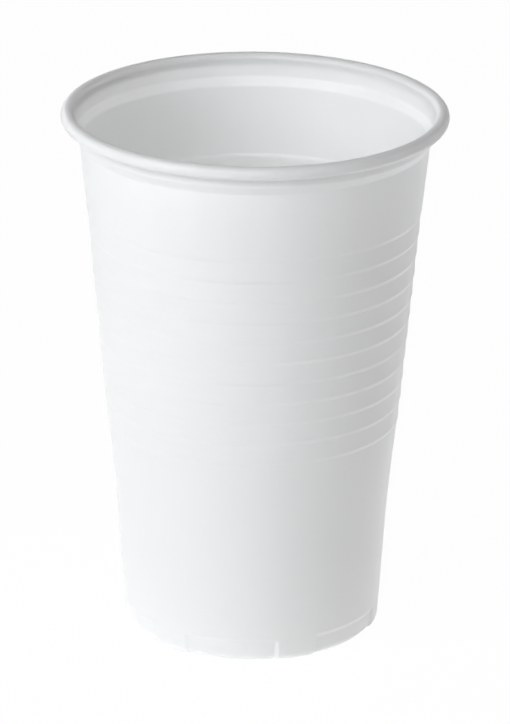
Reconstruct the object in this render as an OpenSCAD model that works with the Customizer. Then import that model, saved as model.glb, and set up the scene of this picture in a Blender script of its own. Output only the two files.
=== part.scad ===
// Disposable drinking cup, formed in one piece from thin white plastic sheet.
// Its section is one path of corners in radius and height. The path is rounded, given the
// sheet's thickness and turned round the axis, and the foot's sunk panels are then pressed in.
// The origin is at the centre of the foot, on the table, with +Z up.

/* [Overall] */
// Height from the table to the top of the rolled rim
cup_h = 99; // [92:0.5:110]
// Diameter over the rolled rim
rim_d = 70.3; // [67:0.1:76]
// Diameter of the foot, where the line of the wall meets the table
foot_d = 47; // [42:0.5:50]
// Thickness of the formed sheet
wall = 0.3; // [0.2:0.05:0.5]

/* [Rolled rim] */
// Diameter of the roll's round section
roll_d = 2.5; // [2:0.1:3.5]
// Angle through which the sheet is rolled
roll_turn = 310; // [250:5:315]

/* [Stacking shoulder] */
// Height of the collar, from the shoulder to the centre of the roll
collar_h = 3.05; // [2:0.05:5]
// Draft of the collar
collar_draft = 4; // [0:0.5:8]
// Height of the sloping shoulder
shoulder_h = 1.6; // [1:0.1:3]
// How far the wall steps in at the shoulder
shoulder_in = 0.95; // [0.4:0.05:1.5]
// Radius of the shoulder's two edges
shoulder_round = 0.6; // [0:0.1:1.2]

/* [Wall] */
// Draft of the plain bands above and below the grip rings
wall_draft = 6; // [3:0.1:8]
// Height of the plain band from the shoulder to the middle of the first ring
band_h = 13.1; // [8:0.1:18]
// Height of the straighter band above the foot
foot_band_h = 25; // [10:0.5:32]
// Radius that blends the foot band into the wall above it, where the wall has room for it
foot_band_round = 200; // [0:10:300]
// Least height of the plain band between the last ring and the foot band
low_band_h = 14; // [8:0.5:18]

/* [Grip rings] */
// Height from one ring to the next
ring_pitch = 4; // [3:0.1:4.5]
// Depth of each ring's ledge
ring_step = 0.22; // [0.1:0.02:0.4]
// Height of each ring's sloping ledge
ring_ledge_h = 0.4; // [0.2:0.05:0.8]
// Draft of the wall between two rings
ring_draft = 2.25; // [0:0.25:5]

/* [Base] */
// Radius of the heel between the wall and the table
heel_round = 1.4; // [0.8:0.1:2]
// Least width of the flat ring that the cup stands on
stand_w = 1.6; // [1.2:0.1:4]
// Height of the raised base above the table
base_rise = 2.4; // [1.5:0.1:4]
// Draft of the raised base's side
base_draft = 20; // [5:1:40]
// Radius of the raised base's two edges
base_round = 0.6; // [0:0.1:0.8]

/* [Foot panels] */
// Number of sunk panels round the foot
panel_count = 6; // [3:1:7]
// Angle that the floor of each panel takes up
panel_angle = 40; // [20:1:44]
// Height of the panels' upper edge above the table
panel_h = 4.4; // [3:0.1:8]
// Depth of the panels
panel_in = 0.45; // [0.2:0.05:0.7]
// Lean of the panels' edges, away from square to the wall
panel_lean = 55; // [20:1:65]
// Turn of the first panel's middle round the axis, from +X
panel_turn = 20.75; // [0:0.25:60]

/* [Hidden] */
$fn = 180;

// Largest turn of one straight piece of a rounded corner, in degrees
arc_step = 12;
// How far a cutting shape reaches past the surface that it cuts
past = 1;

// Rolled rim: centre of its section, and the angle at which the collar runs into it
roll_r = roll_d / 2;
roll_centre = [rim_d / 2 - roll_r, cup_h - roll_r];
roll_start = 180 - collar_draft;
roll_end = roll_start - roll_turn;

// Collar and shoulder, on the outside of the sheet
collar_top = roll_centre + (roll_r - wall) * [cos(roll_start), sin(roll_start)];
collar_z = roll_centre[1] - collar_h;
collar_r = collar_top[0] - (collar_top[1] - collar_z) * tan(collar_draft);
shoulder_z = collar_z - shoulder_h;
shoulder_r = collar_r - shoulder_in;

// Grip rings: as many as fit between the plain bands, and how far each stands inside the one above
ring_z = shoulder_z - band_h;
ring_r = shoulder_r - (band_h - ring_ledge_h / 2) * tan(wall_draft);
ring_count = floor((ring_z - foot_band_h - low_band_h) / ring_pitch) + 1;
ring_drop = ring_step + (ring_pitch - ring_ledge_h) * tan(ring_draft);
last_ring_z = ring_z - (ring_count - 1) * ring_pitch - ring_ledge_h / 2;
last_ring_r = ring_r - (ring_count - 1) * ring_drop - ring_step;

// Foot band, and the flat ring and raised base inside it
foot_r = foot_d / 2;
foot_band_r = last_ring_r - (last_ring_z - foot_band_h) * tan(wall_draft);
foot_slope = (foot_band_r - foot_r) / foot_band_h;
foot_band_turn = wall_draft - atan(foot_slope);
foot_band_room = min(last_ring_z - foot_band_h, foot_band_h - panel_h);
foot_band_blend = min(foot_band_round, foot_band_room / tan(abs(foot_band_turn) / 2));
heel_r = foot_r - heel_round * (sqrt(1 + foot_slope * foot_slope) - foot_slope);
stand_r = heel_r - panel_in - stand_w;
base_r = stand_r - base_rise * tan(base_draft);

// Sunk panels: radius of their floor at the table, and height at which the upper edge starts
panel_r = foot_r - panel_in;
panel_floor_h = panel_h - panel_in * tan(panel_lean);
panel_skin_reach = panel_in + wall * (sin(panel_lean) - 0.5);
// In plan, how far a panel's leaning edge runs in past the heel and out past the wall
panel_edge_in = (foot_r - heel_r + wall) / cos(panel_lean);
panel_edge_out = (panel_in + panel_h * abs(foot_slope) + past) / cos(panel_lean);

function unit(v) = v / norm(v);
function left_of(v) = [-v[1], v[0]];
function turned(v, a) = v * cos(a) + left_of(v) * sin(a);
function reversed(list) = [for (i = [len(list) - 1 : -1 : 0]) list[i]];
function place(corner) = [corner[0], corner[1]];
function heading(path, i) = unit(place(path[i + 1]) - place(path[i]));

// The path moved to its left by t. Each corner is a radius from the axis, a height and a rounding.
function inset(path, t) = [for (i = [0 : len(path) - 1])
    let (u = heading(path, max(i - 1, 0)), v = heading(path, min(i, len(path) - 2)),
         p = place(path[i]) + t * (left_of(u) + left_of(v)) / (1 + u * v),
         r = path[i][2])
    [p[0], p[1], r > 0 ? max(0, r - t * sign(cross(u, v))) : 0]];

// The corner b between a and c, as the points of its arc
function arc(a, b, c, r) =
    let (u = unit(b - a), v = unit(c - b), turn = atan2(cross(u, v), u * v),
         centre = b - u * r * tan(abs(turn) / 2) + sign(turn) * r * left_of(u),
         steps = max(2, ceil(abs(turn) / arc_step)))
    r > 0 ? [for (k = [0 : steps]) centre - sign(turn) * r * left_of(turned(u, turn * k / steps))] : [b];

// All the points of a path, with its corners rounded
function rounded(path) = [for (i = [0 : len(path) - 1])
    each (i == 0 || i == len(path) - 1)
        ? [place(path[i])]
        : arc(place(path[i - 1]), place(path[i]), place(path[i + 1]), path[i][2])];

// Lower and upper corner of ring i's ledge, counted from the top
function ring_ledge(i) =
    let (z = ring_z - i * ring_pitch, r = ring_r - i * ring_drop)
    [[r - ring_step, z - ring_ledge_h / 2, 0], [r, z + ring_ledge_h / 2, 0]];

// Outside of the sheet, from the middle of the base to the rolled rim
cup_path = [
    [0, base_rise, 0],
    [base_r, base_rise, base_round],
    [stand_r, 0, base_round],
    [foot_r, 0, heel_round],
    [foot_band_r, foot_band_h, foot_band_blend],
    for (i = [ring_count - 1 : -1 : 0]) each ring_ledge(i),
    [shoulder_r, shoulder_z, shoulder_round],
    [collar_r, collar_z, shoulder_round],
    [collar_top[0], collar_top[1], 0]];

// Outside of the foot's wall, up to the height z
function foot_path(z) = [
    [heel_r, 0, 0],
    [foot_r, 0, heel_round],
    [foot_r + z * foot_slope, z, 0]];

// Outside of the sheet in a sunk panel: the same heel moved in, and an upper edge of some reach
function panel_path(reach) = [
    [heel_r - panel_in, 0, 0],
    [panel_r, 0, heel_round],
    [panel_r + panel_floor_h * foot_slope, panel_floor_h, 0],
    [panel_r + panel_floor_h * foot_slope + reach, panel_floor_h + reach * tan(panel_lean), 0]];

// Section of the roll, open between its free edge and the collar
module roll_section() {
    translate(roll_centre)
        difference() {
            circle(roll_r);
            circle(roll_r - wall);
            polygon([[0, 0], for (a = [roll_start, 180 + collar_draft, roll_end + 360])
                2 * roll_r * [cos(a), sin(a)]]);
        }
}

// Section of the whole cup, from the axis to the rim
module cup_section() {
    polygon(concat(rounded(cup_path), reversed(rounded(inset(cup_path, wall)))));
    roll_section();
}

// Outlines of the sunk panels in plan, as prisms, with their leaning edges moved out by grow
module panel_outlines(grow) {
    half = panel_angle / 2;
    edge = [cos(half + panel_lean), sin(half + panel_lean)];
    corner = panel_r * [cos(half), sin(half)] + grow * left_of(edge);
    inner = corner - panel_edge_in * edge;
    outer = corner + panel_edge_out * edge;
    tip = [foot_d, 0];
    for (i = [0 : panel_count - 1])
        rotate(panel_turn + i * 360 / panel_count)
            translate([0, 0, -2 * past])
                linear_extrude(2 * panel_h + 4 * past)
                    polygon([inner, outer, tip, [outer[0], -outer[1]], [inner[0], -inner[1]]]);
}

// The sheet behind the sunk panels, buried in the wall at its edges
module panel_skins() {
    skin = rounded(inset(panel_path(panel_skin_reach), wall));
    skin_top = skin[len(skin) - 1][1];
    intersection() {
        rotate_extrude()
            polygon(concat(skin, reversed(rounded(inset(foot_path(skin_top), wall / 2)))));
        panel_outlines(wall);
    }
}

// What the sunk panels take away from the outside of the foot
module panel_hollows() {
    face = rounded(panel_path(panel_in + past));
    top = face[len(face) - 1];
    intersection() {
        rotate_extrude()
            polygon(concat(face, [[top[0], -past], [face[0][0], -past]]));
        panel_outlines(0);
    }
}

module cup() {
    color("white")
        difference() {
            union() {
                rotate_extrude()
                    cup_section();
                panel_skins();
            }
            panel_hollows();
        }
}

cup();
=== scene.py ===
"""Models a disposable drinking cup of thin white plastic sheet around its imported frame, in metres.

The cup is one formed sheet. Its section is drawn as a line of corners, the corners are rounded and the
line's end is curled into the rim. The line is spun into a sixth of the cup, where one foot panel is
pressed in, the sixth is repeated round the axis, and the sheet then gets its thickness.
"""

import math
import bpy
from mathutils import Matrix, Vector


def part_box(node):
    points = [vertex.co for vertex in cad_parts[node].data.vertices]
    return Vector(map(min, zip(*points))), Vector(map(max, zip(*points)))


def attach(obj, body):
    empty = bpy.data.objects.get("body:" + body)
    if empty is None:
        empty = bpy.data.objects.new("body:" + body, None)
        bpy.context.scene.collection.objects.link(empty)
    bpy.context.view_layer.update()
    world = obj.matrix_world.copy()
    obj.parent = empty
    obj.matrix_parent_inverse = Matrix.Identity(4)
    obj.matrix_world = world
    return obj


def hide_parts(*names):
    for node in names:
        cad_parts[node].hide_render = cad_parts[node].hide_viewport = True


bl_info = {
    "name": "Plastic Cup",
    "version": (1, 0, 0),
    "blender": (4, 5, 0),
    "location": "View3D > Sidebar > Plastic Cup",
    "description": "Models a thin formed drinking cup with a rolled rim, grip rings and foot panels",
    "category": "Add Mesh",
}

import bmesh
import bpy
from mathutils import Matrix, Vector

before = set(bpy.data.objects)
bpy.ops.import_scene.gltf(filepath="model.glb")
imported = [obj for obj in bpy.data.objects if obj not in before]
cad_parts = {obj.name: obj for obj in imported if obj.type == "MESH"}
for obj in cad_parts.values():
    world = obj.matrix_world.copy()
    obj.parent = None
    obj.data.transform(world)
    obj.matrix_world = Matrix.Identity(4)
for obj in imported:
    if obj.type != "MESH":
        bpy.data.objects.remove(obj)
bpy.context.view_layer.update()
CUP_LOW, CUP_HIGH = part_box("cup")

MM = 0.001
WHITE = (1, 1, 1)
# Two points closer than the first are the same point, and two bearings closer than the second are one
TOUCH = 0.002 * MM
TOUCH_TURN = math.radians(0.05)
# Largest turn of one straight piece of a rounded corner, and the least number of such pieces
ARC_STEP = math.radians(7)
ARC_PIECES = 2
# Turn of one straight piece of the rolled rim
ROLL_STEP = math.radians(10)
# Spin turns clockwise about its axis. The first axis turns the section from +X towards +Y, and the
# second curls its end over the top and outwards.
SPIN_AXIS = (0, 0, -1)
CURL_AXIS = (0, -1, 0)
# Most turn between two faces that still shade as one smooth surface
SMOOTH_TURN = math.radians(40)
# Level that a noise texture varies round
NOISE_MEAN = 0.5
# The floor lies this far below the cup's foot and its glow this far above, so that no two share a plane
FLOOR_GAP = 0.02 * MM
GLOW_GAP = 0.1 * MM
# Longer side of the camera's sensor, in millimetres, and the nearest and farthest thing it shows
SENSOR_MM = 36
CAMERA_NEAR = 0.01
CAMERA_FAR = 100


def length(name, description, millimetres):
    """A size that is written in millimetres and kept in metres."""
    return bpy.props.FloatProperty(
        name=name, description=description, default=millimetres * MM, min=0, precision=5, unit="LENGTH")


def angle(name, description, degrees):
    """An angle that is written in degrees and kept in radians."""
    return bpy.props.FloatProperty(
        name=name, description=description, default=math.radians(degrees), unit="ROTATION")


def colour(name, description, rgb):
    """A colour in linear red, green and blue."""
    return bpy.props.FloatVectorProperty(
        name=name, description=description, default=rgb, min=0, max=1, size=3, subtype="COLOR")


def share(name, description, default):
    """A number from 0 to 1."""
    return bpy.props.FloatProperty(
        name=name, description=description, default=default, min=0, max=1, subtype="FACTOR")


def power(name, description, watts):
    """A lamp's power."""
    return bpy.props.FloatProperty(name=name, description=description, default=watts, min=0, unit="POWER")


def rate(name, description, per_metre):
    """A number of marks in a metre."""
    return bpy.props.FloatProperty(name=name, description=description, default=per_metre, min=0)


def count(name, description, default):
    """A whole number of like features."""
    return bpy.props.IntProperty(name=name, description=description, default=default, min=1)


class CupSizes(bpy.types.PropertyGroup):
    """Sizes of the cup, on the outside of its sheet."""

    height: length("Height", "From the table to the top of the rolled rim", CUP_HIGH.z / MM)
    rim_d: length("Rim diameter", "Over the rolled rim", (CUP_HIGH.x - CUP_LOW.x) / MM)
    foot_d: length("Foot diameter", "Where the line of the wall meets the table", 47)
    sheet: length("Sheet thickness", "Thickness of the formed sheet", 0.3)

    roll_d: length("Roll diameter", "Of the rim's round section", 2.5)
    roll_turn: angle("Roll turn", "Angle through which the sheet is rolled", 310)
    collar_h: length("Collar height", "From the shoulder to the centre of the roll", 3.05)
    collar_draft: angle("Collar draft", "Slope of the collar below the rim", 4)
    shoulder_h: length("Shoulder height", "Of the sloping step that stacked cups rest on", 1.6)
    shoulder_in: length("Shoulder step", "How far the wall steps in at the shoulder", 0.95)
    shoulder_round: length("Shoulder radius", "Of the shoulder's two edges", 1)

    wall_draft: angle("Wall draft", "Slope of the plain bands above and below the rings", 6)
    band_h: length("Upper band height", "From the shoulder to the middle of the first ring", 13.1)
    foot_band_h: length("Foot band height", "Of the straighter band above the foot", 25)
    foot_band_round: length("Foot band radius", "Blend from the foot band into the wall", 200)

    ring_count: count("Rings", "Number of grip rings", 11)
    ring_pitch: length("Ring pitch", "From one ring to the next", 4)
    ring_step: length("Ring step", "Depth of each ring's ledge", 0.22)
    ring_ledge_h: length("Ring ledge height", "Of each ring's sloping ledge", 0.5)
    ring_round: length("Ring radius", "Of the two edges of each ledge", 1.2)
    ring_draft: angle("Ring draft", "Slope of the wall between two rings", 2.25)

    heel_round: length("Heel radius", "Between the wall and the table", 1.4)
    stand_w: length("Standing width", "Of the flat ring that the cup stands on", 2.05)
    base_rise: length("Base rise", "Of the raised base above the table", 2.4)
    base_draft: angle("Base draft", "Slope of the raised base's side", 20)
    base_round: length("Base radius", "Of the raised base's two edges", 0.6)

    panel_count: count("Panels", "Number of foot panels", 6)
    panel_angle: angle("Panel width", "Angle between the middles of a panel's two edges", 41.6)
    panel_h: length("Panel height", "From the table to the middle of the upper edge", 4.08)
    panel_in: length("Panel depth", "How far the panels are pressed in", 0.45)
    panel_top_in: length("Panel top depth", "How far they are pressed in at their upper edge", 0.3)
    panel_edge: length("Panel edge", "Width of a panel's soft edges", 0.95)
    panel_turn: angle("Panel turn", "Of the first panel's middle round the axis", 20.75)


class CupFinish(bpy.types.PropertyGroup):
    """Looks of the plastic sheet, with the faint clouds, ripple and streaks that forming leaves in it."""

    white: colour("White", "Colour of the sheet where its clouds are lightest", (0.975, 0.975, 0.97))
    thin_white: colour("Thin white", "Colour where the clouds are darkest", (0.965, 0.965, 0.96))
    roughness: share("Roughness", "Mean roughness of the sheet", 0.38)
    ior: bpy.props.FloatProperty(
        name="Refraction", description="Index that sets how much the sheet mirrors", default=1.38, min=1)
    scatter: length("Scatter depth", "How far light goes in the sheet before it turns", 0.8)

    cloud_rate: rate("Cloud rate", "Waves of the broad clouds in a metre", 45)
    ripple_rate: rate("Ripple rate", "Waves of the ripple in a metre", 160)
    streak_rate: rate("Streak rate", "Waves of the streaks in a metre, across them", 700)
    streak_stretch: share("Streak stretch", "Share of that rate along the cup's axis", 0.12)
    cloud_gloss: share("Cloud gloss", "How far the clouds change the roughness", 0.08)
    streak_gloss: share("Streak gloss", "How far the streaks change the roughness", 0.06)
    ripple_h: length("Ripple height", "Of the ripple in the surface", 0.02)
    ripple_strength: share("Ripple strength", "Share of the surface's ripple and streaks that shows", 0.5)
    streak_h: share("Streak height", "As a share of the ripple's", 0.08)


class StageSettings(bpy.types.PropertyGroup):
    """Floor, light and camera."""

    floor_size: length("Floor size", "Side of the square floor", 8000)
    floor_paint: colour("Floor paint", "Of the floor where it takes light", (0.9, 0.9, 0.9))
    floor_glow: share("Floor glow", "Share of the floor's white that shadows don't reach", 0.98)

    lamp_away: length("Lamp distance", "From the cup's middle to each softbox", 800)
    key_power: power("Key power", "Of the large softbox on the left", 3.8)
    key_colour: colour("Key colour", "Of the large softbox on the left", (0.95, 0.98, 1))
    front_power: power("Front power", "Of the softbox above the camera", 2.35)
    kick_power: power("Kick power", "Of the softbox behind, on the left", 1.45)
    fill_power: power("Fill power", "Of the softbox on the right", 1.75)
    glow_power: power("Table glow", "Of the light that the table sends up", 0.1)
    glow_d: length("Table glow size", "Diameter of the part of the table that sends it", 350)

    flag_size: length("Flag size", "Side of the dark card over the cup", 3000)
    flag_up: length("Flag height", "Of the dark card above the floor", 750)
    flag_paint: colour("Flag paint", "Of the dark card", (0.02, 0.02, 0.02))

    lens: bpy.props.FloatProperty(
        name="Focal length", description=f"For a sensor {SENSOR_MM} mm high", default=261.8, unit="CAMERA")
    camera_back: length("Camera distance", "From the cup's axis, along the floor", 906.2)
    camera_up: length("Camera height", "Above the floor", 390.7)
    camera_pitch: angle("Camera pitch", "Below the horizon", 20.61)
    camera_roll: angle("Camera roll", "Anticlockwise, seen from behind", 0.455)
    camera_yaw: angle("Camera yaw", "To the right", 0.021)


class Value:
    """A number that a shader works out, for use in plain expressions."""

    def __init__(self, shader, socket):
        self.shader = shader
        self.socket = socket

    def combine(self, operation, first, second):
        """Adds a Math node and gives its result."""
        made = self.shader.node("ShaderNodeMath", {"operation": operation}, {0: first, 1: second})
        return Value(self.shader, made.outputs[0])

    def __add__(self, other):
        return self.combine("ADD", self, other)

    def __radd__(self, other):
        return self.combine("ADD", other, self)

    def __sub__(self, other):
        return self.combine("SUBTRACT", self, other)

    def __rsub__(self, other):
        return self.combine("SUBTRACT", other, self)

    def __mul__(self, other):
        return self.combine("MULTIPLY", self, other)

    def __rmul__(self, other):
        return self.combine("MULTIPLY", other, self)


class Shader:
    """The nodes of a material or the world, emptied for new ones."""

    def __init__(self, owner):
        owner.use_nodes = True
        self.tree = owner.node_tree
        self.tree.nodes.clear()

    def node(self, kind, settings=None, inputs=None):
        """Adds a node, sets it up, and gives each input its value or link."""
        made = self.tree.nodes.new(kind)
        for name, setting in (settings or {}).items():
            setattr(made, name, setting)
        for key, value in (inputs or {}).items():
            if isinstance(value, Value):
                value = value.socket
            if isinstance(value, bpy.types.NodeSocket):
                self.tree.links.new(value, made.inputs[key])
            else:
                made.inputs[key].default_value = value
        return made

    def noise(self, place, scale, detail):
        """A level that wavers from place to place."""
        made = self.node(
            "ShaderNodeTexNoise", inputs={"Vector": place, "Scale": scale, "Detail": detail})
        return Value(self, made.outputs["Fac"])

    def mix(self, factor, first, second):
        """A colour between two others, through the sockets that a Mix node has for colours."""
        made = self.node("ShaderNodeMix", {"data_type": "RGBA"}, {0: factor, 6: first, 7: second})
        return made.outputs[2]

    def seen_rays(self):
        """1 for rays that show a surface, seen straight, mirrored or through glass, and 0 for others."""
        path = self.node("ShaderNodeLightPath")
        straight, mirrored, through = (
            Value(self, path.outputs[f"Is {kind} Ray"]) for kind in ("Camera", "Glossy", "Transmission"))
        return straight + mirrored + through


def opaque(rgb):
    """A colour with full alpha, for a node's socket."""
    return (*rgb, 1)


def plastic_material(finish):
    """White semi-gloss sheet with the faint marks that forming leaves in it."""
    material = bpy.data.materials.new("cup_plastic")
    shader = Shader(material)
    place = shader.node("ShaderNodeTexCoord").outputs["Object"]
    drawn = shader.node(
        "ShaderNodeMapping", inputs={"Vector": place, "Scale": (1, 1, finish.streak_stretch)})
    cloud = shader.noise(place, finish.cloud_rate, detail=2)
    ripple = shader.noise(place, finish.ripple_rate, detail=1)
    streak = shader.noise(drawn.outputs["Vector"], finish.streak_rate, detail=2)

    white = shader.mix(cloud, opaque(finish.thin_white), opaque(finish.white))
    roughness = (
        finish.roughness + (cloud - NOISE_MEAN) * finish.cloud_gloss
        + (streak - NOISE_MEAN) * finish.streak_gloss)
    bump = shader.node(
        "ShaderNodeBump", inputs={
            "Height": ripple + streak * finish.streak_h, "Strength": finish.ripple_strength,
            "Distance": finish.ripple_h})
    # All the light that enters the sheet scatters in it, and every colour goes equally far
    surface = shader.node(
        "ShaderNodeBsdfPrincipled", inputs={
            "Base Color": white, "Roughness": roughness, "Normal": bump.outputs["Normal"],
            "IOR": finish.ior, "Subsurface Weight": 1.0, "Subsurface Radius": (1, 1, 1),
            "Subsurface Scale": finish.scatter})
    shader.node("ShaderNodeOutputMaterial", inputs={"Surface": surface.outputs["BSDF"]})
    return material


def floor_material(stage):
    """White floor that looks evenly white and still takes the cup's shadow."""
    material = bpy.data.materials.new("floor_white")
    shader = Shader(material)
    paint = shader.node("ShaderNodeBsdfDiffuse", inputs={"Color": opaque(stage.floor_paint)})
    glow = shader.node("ShaderNodeEmission", inputs={"Color": opaque(WHITE), "Strength": 1.0})
    mixed = shader.node(
        "ShaderNodeMixShader", inputs={
            0: shader.seen_rays() * stage.floor_glow, 1: paint.outputs["BSDF"],
            2: glow.outputs["Emission"]})
    shader.node("ShaderNodeOutputMaterial", inputs={"Surface": mixed.outputs["Shader"]})
    return material


def flag_material(stage):
    """Black card that sends back almost no light."""
    material = bpy.data.materials.new("flag_black")
    shader = Shader(material)
    paint = shader.node("ShaderNodeBsdfDiffuse", inputs={"Color": opaque(stage.flag_paint)})
    shader.node("ShaderNodeOutputMaterial", inputs={"Surface": paint.outputs["BSDF"]})
    return material


def pick(piece, chosen):
    """In edit mode, selects the points of a piece for which chosen(place) is true, and no others."""
    mesh = bmesh.from_edit_mesh(piece.data)
    bpy.ops.mesh.select_all(action="DESELECT")
    for point in mesh.verts:
        point.select = chosen(point.co)
    mesh.select_flush_mode()
    bmesh.update_edit_mesh(piece.data)


def at(place):
    """A test of whether a point is at this place."""
    return lambda point: (point - place).length < TOUCH


class Section:
    """The cup's section in the XZ plane, on the outside of its sheet, worked out from the sizes."""

    def __init__(self, sizes):
        # Roll, collar and shoulder
        roll_r = sizes.roll_d / 2
        roll_start = math.pi - sizes.collar_draft
        to_start = Vector((math.cos(roll_start), 0, math.sin(roll_start)))
        self.roll_centre = Vector((sizes.rim_d / 2 - roll_r, 0, sizes.height - roll_r))
        collar_top = self.roll_centre + (roll_r - sizes.sheet) * to_start
        self.collar_z = self.roll_centre.z - sizes.collar_h
        collar_r = collar_top.x - (collar_top.z - self.collar_z) * math.tan(sizes.collar_draft)
        shoulder_z = self.collar_z - sizes.shoulder_h
        shoulder_r = collar_r - sizes.shoulder_in

        # Grip rings, and how far each stands inside the one above
        ring_z = shoulder_z - sizes.band_h
        ring_r = shoulder_r - (sizes.band_h - sizes.ring_ledge_h / 2) * math.tan(sizes.wall_draft)
        ring_drop = sizes.ring_step + (sizes.ring_pitch - sizes.ring_ledge_h) * math.tan(sizes.ring_draft)
        last_ring_z = ring_z - (sizes.ring_count - 1) * sizes.ring_pitch - sizes.ring_ledge_h / 2
        last_ring_r = ring_r - (sizes.ring_count - 1) * ring_drop - sizes.ring_step

        # Foot band, standing ring, raised base, and the two ends of the panels' soft upper edge
        foot_r = sizes.foot_d / 2
        foot_band_r = last_ring_r - (last_ring_z - sizes.foot_band_h) * math.tan(sizes.wall_draft)
        foot_slope = (foot_band_r - foot_r) / sizes.foot_band_h
        self.heel_r = foot_r - sizes.heel_round * (math.hypot(1, foot_slope) - foot_slope)
        stand_r = self.heel_r - sizes.stand_w
        base_r = stand_r - sizes.base_rise * math.tan(sizes.base_draft)
        self.panel_rows = [sizes.panel_h - sizes.panel_edge / 2, sizes.panel_h + sizes.panel_edge / 2]

        # Each corner is a radius from the axis, a height and a rounding
        self.corners = [
            (0, sizes.base_rise, 0),
            (base_r, sizes.base_rise, sizes.base_round),
            (stand_r, 0, sizes.base_round),
            (foot_r, 0, sizes.heel_round)]
        self.corners += [(foot_r + z * foot_slope, z, 0) for z in self.panel_rows]
        self.corners.append((foot_band_r, sizes.foot_band_h, sizes.foot_band_round))
        for ring in reversed(range(sizes.ring_count)):
            z = ring_z - ring * sizes.ring_pitch
            r = ring_r - ring * ring_drop
            self.corners.append((r - sizes.ring_step, z - sizes.ring_ledge_h / 2, sizes.ring_round))
            self.corners.append((r, z + sizes.ring_ledge_h / 2, sizes.ring_round))
        self.corners += [
            (shoulder_r, shoulder_z, sizes.shoulder_round),
            (collar_r, self.collar_z, sizes.shoulder_round),
            (collar_top.x, collar_top.z, 0)]

    def place(self, i):
        """Where corner i is."""
        r, z = self.corners[i][:2]
        return Vector((r, 0, z))

    def draw(self):
        """Makes the section as a line of corners, from the middle of the base to the collar."""
        bpy.ops.object.select_all(action="DESELECT")
        bpy.ops.mesh.primitive_plane_add(size=MM, location=(0, 0, 0))
        piece = bpy.context.object
        bpy.ops.object.mode_set(mode="EDIT")
        bpy.ops.mesh.merge(type="CENTER")
        bpy.ops.transform.translate(value=self.place(0))
        for i in range(1, len(self.corners)):
            step = self.place(i) - self.place(i - 1)
            bpy.ops.mesh.extrude_region_move(TRANSFORM_OT_translate={"value": step})
        return piece

    def round_corners(self, piece):
        """Rounds each corner of the drawn line to its own radius."""
        for i in range(1, len(self.corners) - 1):
            rounding = self.corners[i][2]
            if rounding == 0:
                continue
            turn = (self.place(i) - self.place(i - 1)).angle(self.place(i + 1) - self.place(i))
            pick(piece, at(self.place(i)))
            bpy.ops.mesh.bevel(
                affect="VERTICES", offset_type="OFFSET", offset=rounding * math.tan(turn / 2),
                segments=max(ARC_PIECES, math.ceil(turn / ARC_STEP)))

    def curl_rim(self, piece, roll_turn):
        """Curls the end of the line round the roll's centre, over the top and outwards."""
        pick(piece, at(self.place(-1)))
        bpy.ops.mesh.spin(
            steps=round(roll_turn / ROLL_STEP), angle=roll_turn, center=self.roll_centre, axis=CURL_AXIS)


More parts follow.
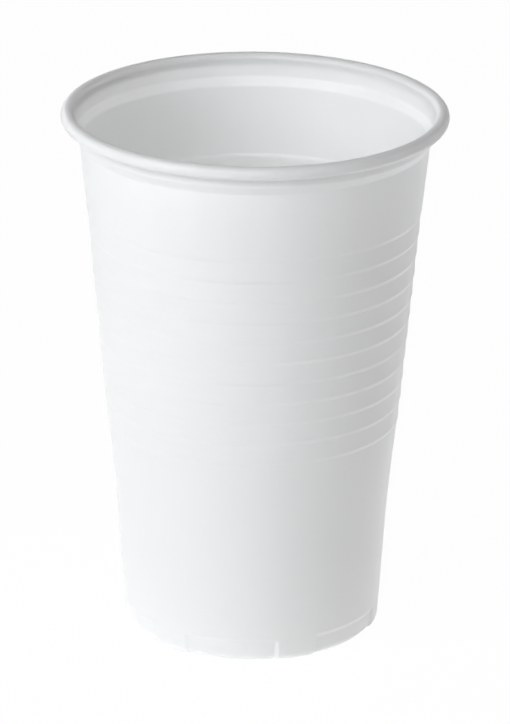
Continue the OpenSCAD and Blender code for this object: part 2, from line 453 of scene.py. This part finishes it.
class CUP_OT_form_cup(bpy.types.Operator):
    """Models the formed cup, with its rolled rim, grip rings and foot panels"""

    bl_idname = "plastic_cup.form_cup"
    bl_label = "Form cup"

    # Steps across a panel's soft edge, across its floor, and from there to half-way to the next panel
    edge_steps = 8
    floor_steps = 14
    land_steps = 3

    def execute(self, context):
        sizes = context.scene.cup_sizes
        section = Section(sizes)
        piece = section.draw()
        section.round_corners(piece)
        self.cut_panel_rows(piece, section)
        section.curl_rim(piece, sizes.roll_turn)

        sector = math.tau / sizes.panel_count
        edge = sizes.panel_edge / (sizes.foot_d / 2)
        floor = sizes.panel_angle - edge
        land = (sector - floor) / 2 - edge
        self.spin_sector([
            (land, self.land_steps), (edge, self.edge_steps), (floor, self.floor_steps),
            (edge, self.edge_steps), (land, self.land_steps)])
        self.press_panel(piece, section, sizes, sector / 2, floor / 2)
        self.repeat_sector(sizes.panel_count, sector)
        self.face_outwards(piece, section)
        bpy.ops.object.mode_set(mode="OBJECT")

        piece.rotation_euler.z = sizes.panel_turn - sector / 2
        bpy.ops.object.transform_apply(location=False, rotation=True, scale=False)
        self.thicken(piece, sizes.sheet)

        piece.name = piece.data.name = "formed_cup"
        piece.data.materials.append(plastic_material(context.scene.cup_finish))
        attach(piece, "root")
        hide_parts("cup")
        return {"FINISHED"}

    def cut_panel_rows(self, piece, section):
        """Cuts the line into short pieces where the upper edge of the panels will bend."""
        low, high = section.panel_rows
        pick(piece, lambda point: point.x > section.heel_r and low - TOUCH < point.z < high + TOUCH)
        bpy.ops.mesh.subdivide(number_cuts=self.edge_steps - 1)

    def spin_sector(self, stages):
        """Spins the drawn line about the axis, by each stage's angle in that stage's number of steps."""
        bpy.ops.mesh.select_all(action="SELECT")
        for turn, steps in stages:
            bpy.ops.mesh.spin(steps=steps, angle=turn, center=(0, 0, 0), axis=SPIN_AXIS)

    def press_panel(self, piece, section, sizes, middle, half_floor):
        """Presses one panel's floor in, with soft edges round it, and lets its top back out a little."""
        floor_top = section.panel_rows[0]

        def on_floor(point):
            bearing = math.atan2(point.y, point.x)
            return (
                abs(bearing - middle) < half_floor + TOUCH_TURN
                and point.z < floor_top + TOUCH
                and point.xy.length > section.heel_r - TOUCH)

        def press(depth):
            """Moves the selected points towards the axis, and those near them less and less."""
            scale = 1 - depth / (sizes.foot_d / 2)
            bpy.ops.transform.resize(
                value=(scale, scale, 1), center_override=(0, 0, 0), use_proportional_edit=True,
                proportional_edit_falloff="SMOOTH", proportional_size=sizes.panel_edge)

        pick(piece, on_floor)
        press(sizes.panel_in)
        pick(piece, lambda point: on_floor(point) and point.z > floor_top - TOUCH)
        press(sizes.panel_top_in - sizes.panel_in)

    def repeat_sector(self, number, sector):
        """Copies the sector round the axis until it closes, and joins the copies."""
        bpy.ops.mesh.select_all(action="SELECT")
        bpy.ops.mesh.spin(
            steps=number - 1, dupli=True, angle=math.tau - sector, center=(0, 0, 0), axis=SPIN_AXIS)
        bpy.ops.mesh.select_all(action="SELECT")
        bpy.ops.mesh.remove_doubles(threshold=TOUCH)

    def face_outwards(self, piece, section):
        """Turns the faces so that those of the wall look away from the axis."""
        bpy.ops.mesh.normals_make_consistent(inside=False)
        low, high = section.panel_rows[1], section.collar_z

        def on_wall(face):
            middle = face.calc_center_median()
            return low < middle.z < high and middle.xy.length > section.heel_r

        mesh = bmesh.from_edit_mesh(piece.data)
        wall = next(face for face in mesh.faces if on_wall(face))
        if wall.normal.xy.dot(wall.calc_center_median().xy) < 0:
            bpy.ops.mesh.flip_normals()

    def thicken(self, piece, sheet):
        """Gives the sheet its thickness on the inside, and shades it smooth, with its broad faces flat."""
        solid = piece.modifiers.new("sheet", "SOLIDIFY")
        solid.thickness = sheet
        solid.offset = -1
        solid.use_even_offset = True
        bpy.ops.object.modifier_apply(modifier=solid.name)
        bpy.ops.object.shade_smooth_by_angle(angle=SMOOTH_TURN)
        shading = piece.modifiers.new("shading", "WEIGHTED_NORMAL")
        shading.keep_sharp = True
        bpy.ops.object.modifier_apply(modifier=shading.name)


class CUP_OT_set_stage(bpy.types.Operator):
    """Makes the floor, the studio light and the camera"""

    bl_idname = "plastic_cup.set_stage"
    bl_label = "Set stage"

    def execute(self, context):
        stage = context.scene.cup_stage
        self.lay_floor(stage)
        self.light_world(context)
        self.hang_softbox(
            stage, "key_softbox", stage.key_power, bearing=-53, elevation=31, size=(0.5, 0.5),
            tint=stage.key_colour)
        self.hang_softbox(
            stage, "front_softbox", stage.front_power, bearing=-10, elevation=40, size=(0.5, 0.3))
        self.hang_softbox(
            stage, "kick_softbox", stage.kick_power, bearing=-135, elevation=14, size=(1, 0.3))
        self.hang_softbox(
            stage, "fill_softbox", stage.fill_power, bearing=110, elevation=16, size=(1, 0.4))
        self.light_table(stage)
        self.hang_flag(stage)
        self.aim_camera(context, stage)
        return {"FINISHED"}

    def lay_floor(self, stage):
        """Lays the floor just under the cup's foot."""
        bpy.ops.object.select_all(action="DESELECT")
        bpy.ops.mesh.primitive_plane_add(size=stage.floor_size, location=(0, 0, -FLOOR_GAP))
        floor = bpy.context.object
        floor.name = "floor"
        floor.data.materials.append(floor_material(stage))

    def light_world(self, context):
        """Makes white surroundings, which show to the camera and in gloss and light nothing else."""
        context.scene.world = bpy.data.worlds.new("studio")
        shader = Shader(context.scene.world)
        background = shader.node(
            "ShaderNodeBackground", inputs={"Color": opaque(WHITE), "Strength": shader.seen_rays()})
        shader.node("ShaderNodeOutputWorld", inputs={"Surface": background.outputs["Background"]})

    def hang_softbox(self, stage, name, watts, bearing, elevation, size, tint=WHITE):
        """Hangs a softbox that looks at the cup. Its bearing is from the camera's side, to the right.

        The bearing and elevation are in degrees, and the size is its width and height in metres.
        """
        turn = math.radians(bearing)
        rise = math.radians(elevation)
        away = Vector((math.sin(turn) * math.cos(rise), -math.cos(turn) * math.cos(rise), math.sin(rise)))
        middle = Vector((0, 0, CUP_HIGH.z / 2))
        bpy.ops.object.light_add(type="AREA", location=middle + away * stage.lamp_away)
        lamp = bpy.context.object
        lamp.name = lamp.data.name = name
        lamp.rotation_euler = away.to_track_quat("Z", "Y").to_euler()
        lamp.data.shape = "RECTANGLE"
        lamp.data.size, lamp.data.size_y = size
        lamp.data.energy = watts
        lamp.data.color = tint
        lamp.visible_camera = False

    def light_table(self, stage):
        """Lays a flat light on the floor that shines up, as a lit table does."""
        bpy.ops.object.light_add(type="AREA", location=(0, 0, GLOW_GAP), rotation=(math.pi, 0, 0))
        lamp = bpy.context.object
        lamp.name = lamp.data.name = "table_glow"
        lamp.data.shape = "DISK"
        lamp.data.size = stage.glow_d
        lamp.data.energy = stage.glow_power
        lamp.visible_camera = False

    def hang_flag(self, stage):
        """Hangs a dark card over the stage, which the rim's upward faces mirror."""
        bpy.ops.mesh.primitive_plane_add(size=stage.flag_size, location=(0, 0, stage.flag_up))
        card = bpy.context.object
        card.name = "dark_flag"
        card.data.materials.append(flag_material(stage))
        card.visible_camera = False

    def aim_camera(self, context, stage):
        """Puts the camera where the photograph was taken from."""
        bpy.ops.object.camera_add()
        camera = bpy.context.object
        camera.name = "camera"
        camera.data.sensor_width = SENSOR_MM
        camera.data.lens = stage.lens
        camera.data.clip_start = CAMERA_NEAR
        camera.data.clip_end = CAMERA_FAR
        camera.matrix_world = (
            Matrix.Translation((0, -stage.camera_back, stage.camera_up))
            @ Matrix.Rotation(-stage.camera_yaw, 4, "Z")
            @ Matrix.Rotation(math.pi / 2 - stage.camera_pitch, 4, "X")
            @ Matrix.Rotation(stage.camera_roll, 4, "Z"))
        context.scene.camera = camera
        context.scene.view_settings.view_transform = "Standard"


class CUP_PT_sidebar(bpy.types.Panel):
    """Lists the cup's sizes, finish and stage, and the steps that make them"""

    bl_idname = "CUP_PT_sidebar"
    bl_label = "Plastic Cup"
    bl_space_type = "VIEW_3D"
    bl_region_type = "UI"
    bl_category = "Plastic Cup"

    def draw(self, context):
        groups = [
            (context.scene.cup_sizes, CUP_OT_form_cup),
            (context.scene.cup_finish, None),
            (context.scene.cup_stage, CUP_OT_set_stage)]
        for group, operator in groups:
            box = self.layout.box()
            for name in group.bl_rna.properties.keys():
                if name not in ("rna_type", "name"):
                    box.prop(group, name)
            if operator:
                box.operator(operator.bl_idname)


CLASSES = (CupSizes, CupFinish, StageSettings, CUP_OT_form_cup, CUP_OT_set_stage, CUP_PT_sidebar)


def register():
    for cls in CLASSES:
        bpy.utils.register_class(cls)
    bpy.types.Scene.cup_sizes = bpy.props.PointerProperty(type=CupSizes)
    bpy.types.Scene.cup_finish = bpy.props.PointerProperty(type=CupFinish)
    bpy.types.Scene.cup_stage = bpy.props.PointerProperty(type=StageSettings)


def unregister():
    del bpy.types.Scene.cup_stage
    del bpy.types.Scene.cup_finish
    del bpy.types.Scene.cup_sizes
    for cls in reversed(CLASSES):
        bpy.utils.unregister_class(cls)


def main():
    register()
    bpy.ops.plastic_cup.form_cup()
    bpy.ops.plastic_cup.set_stage()


if __name__ == "__main__":
    main()
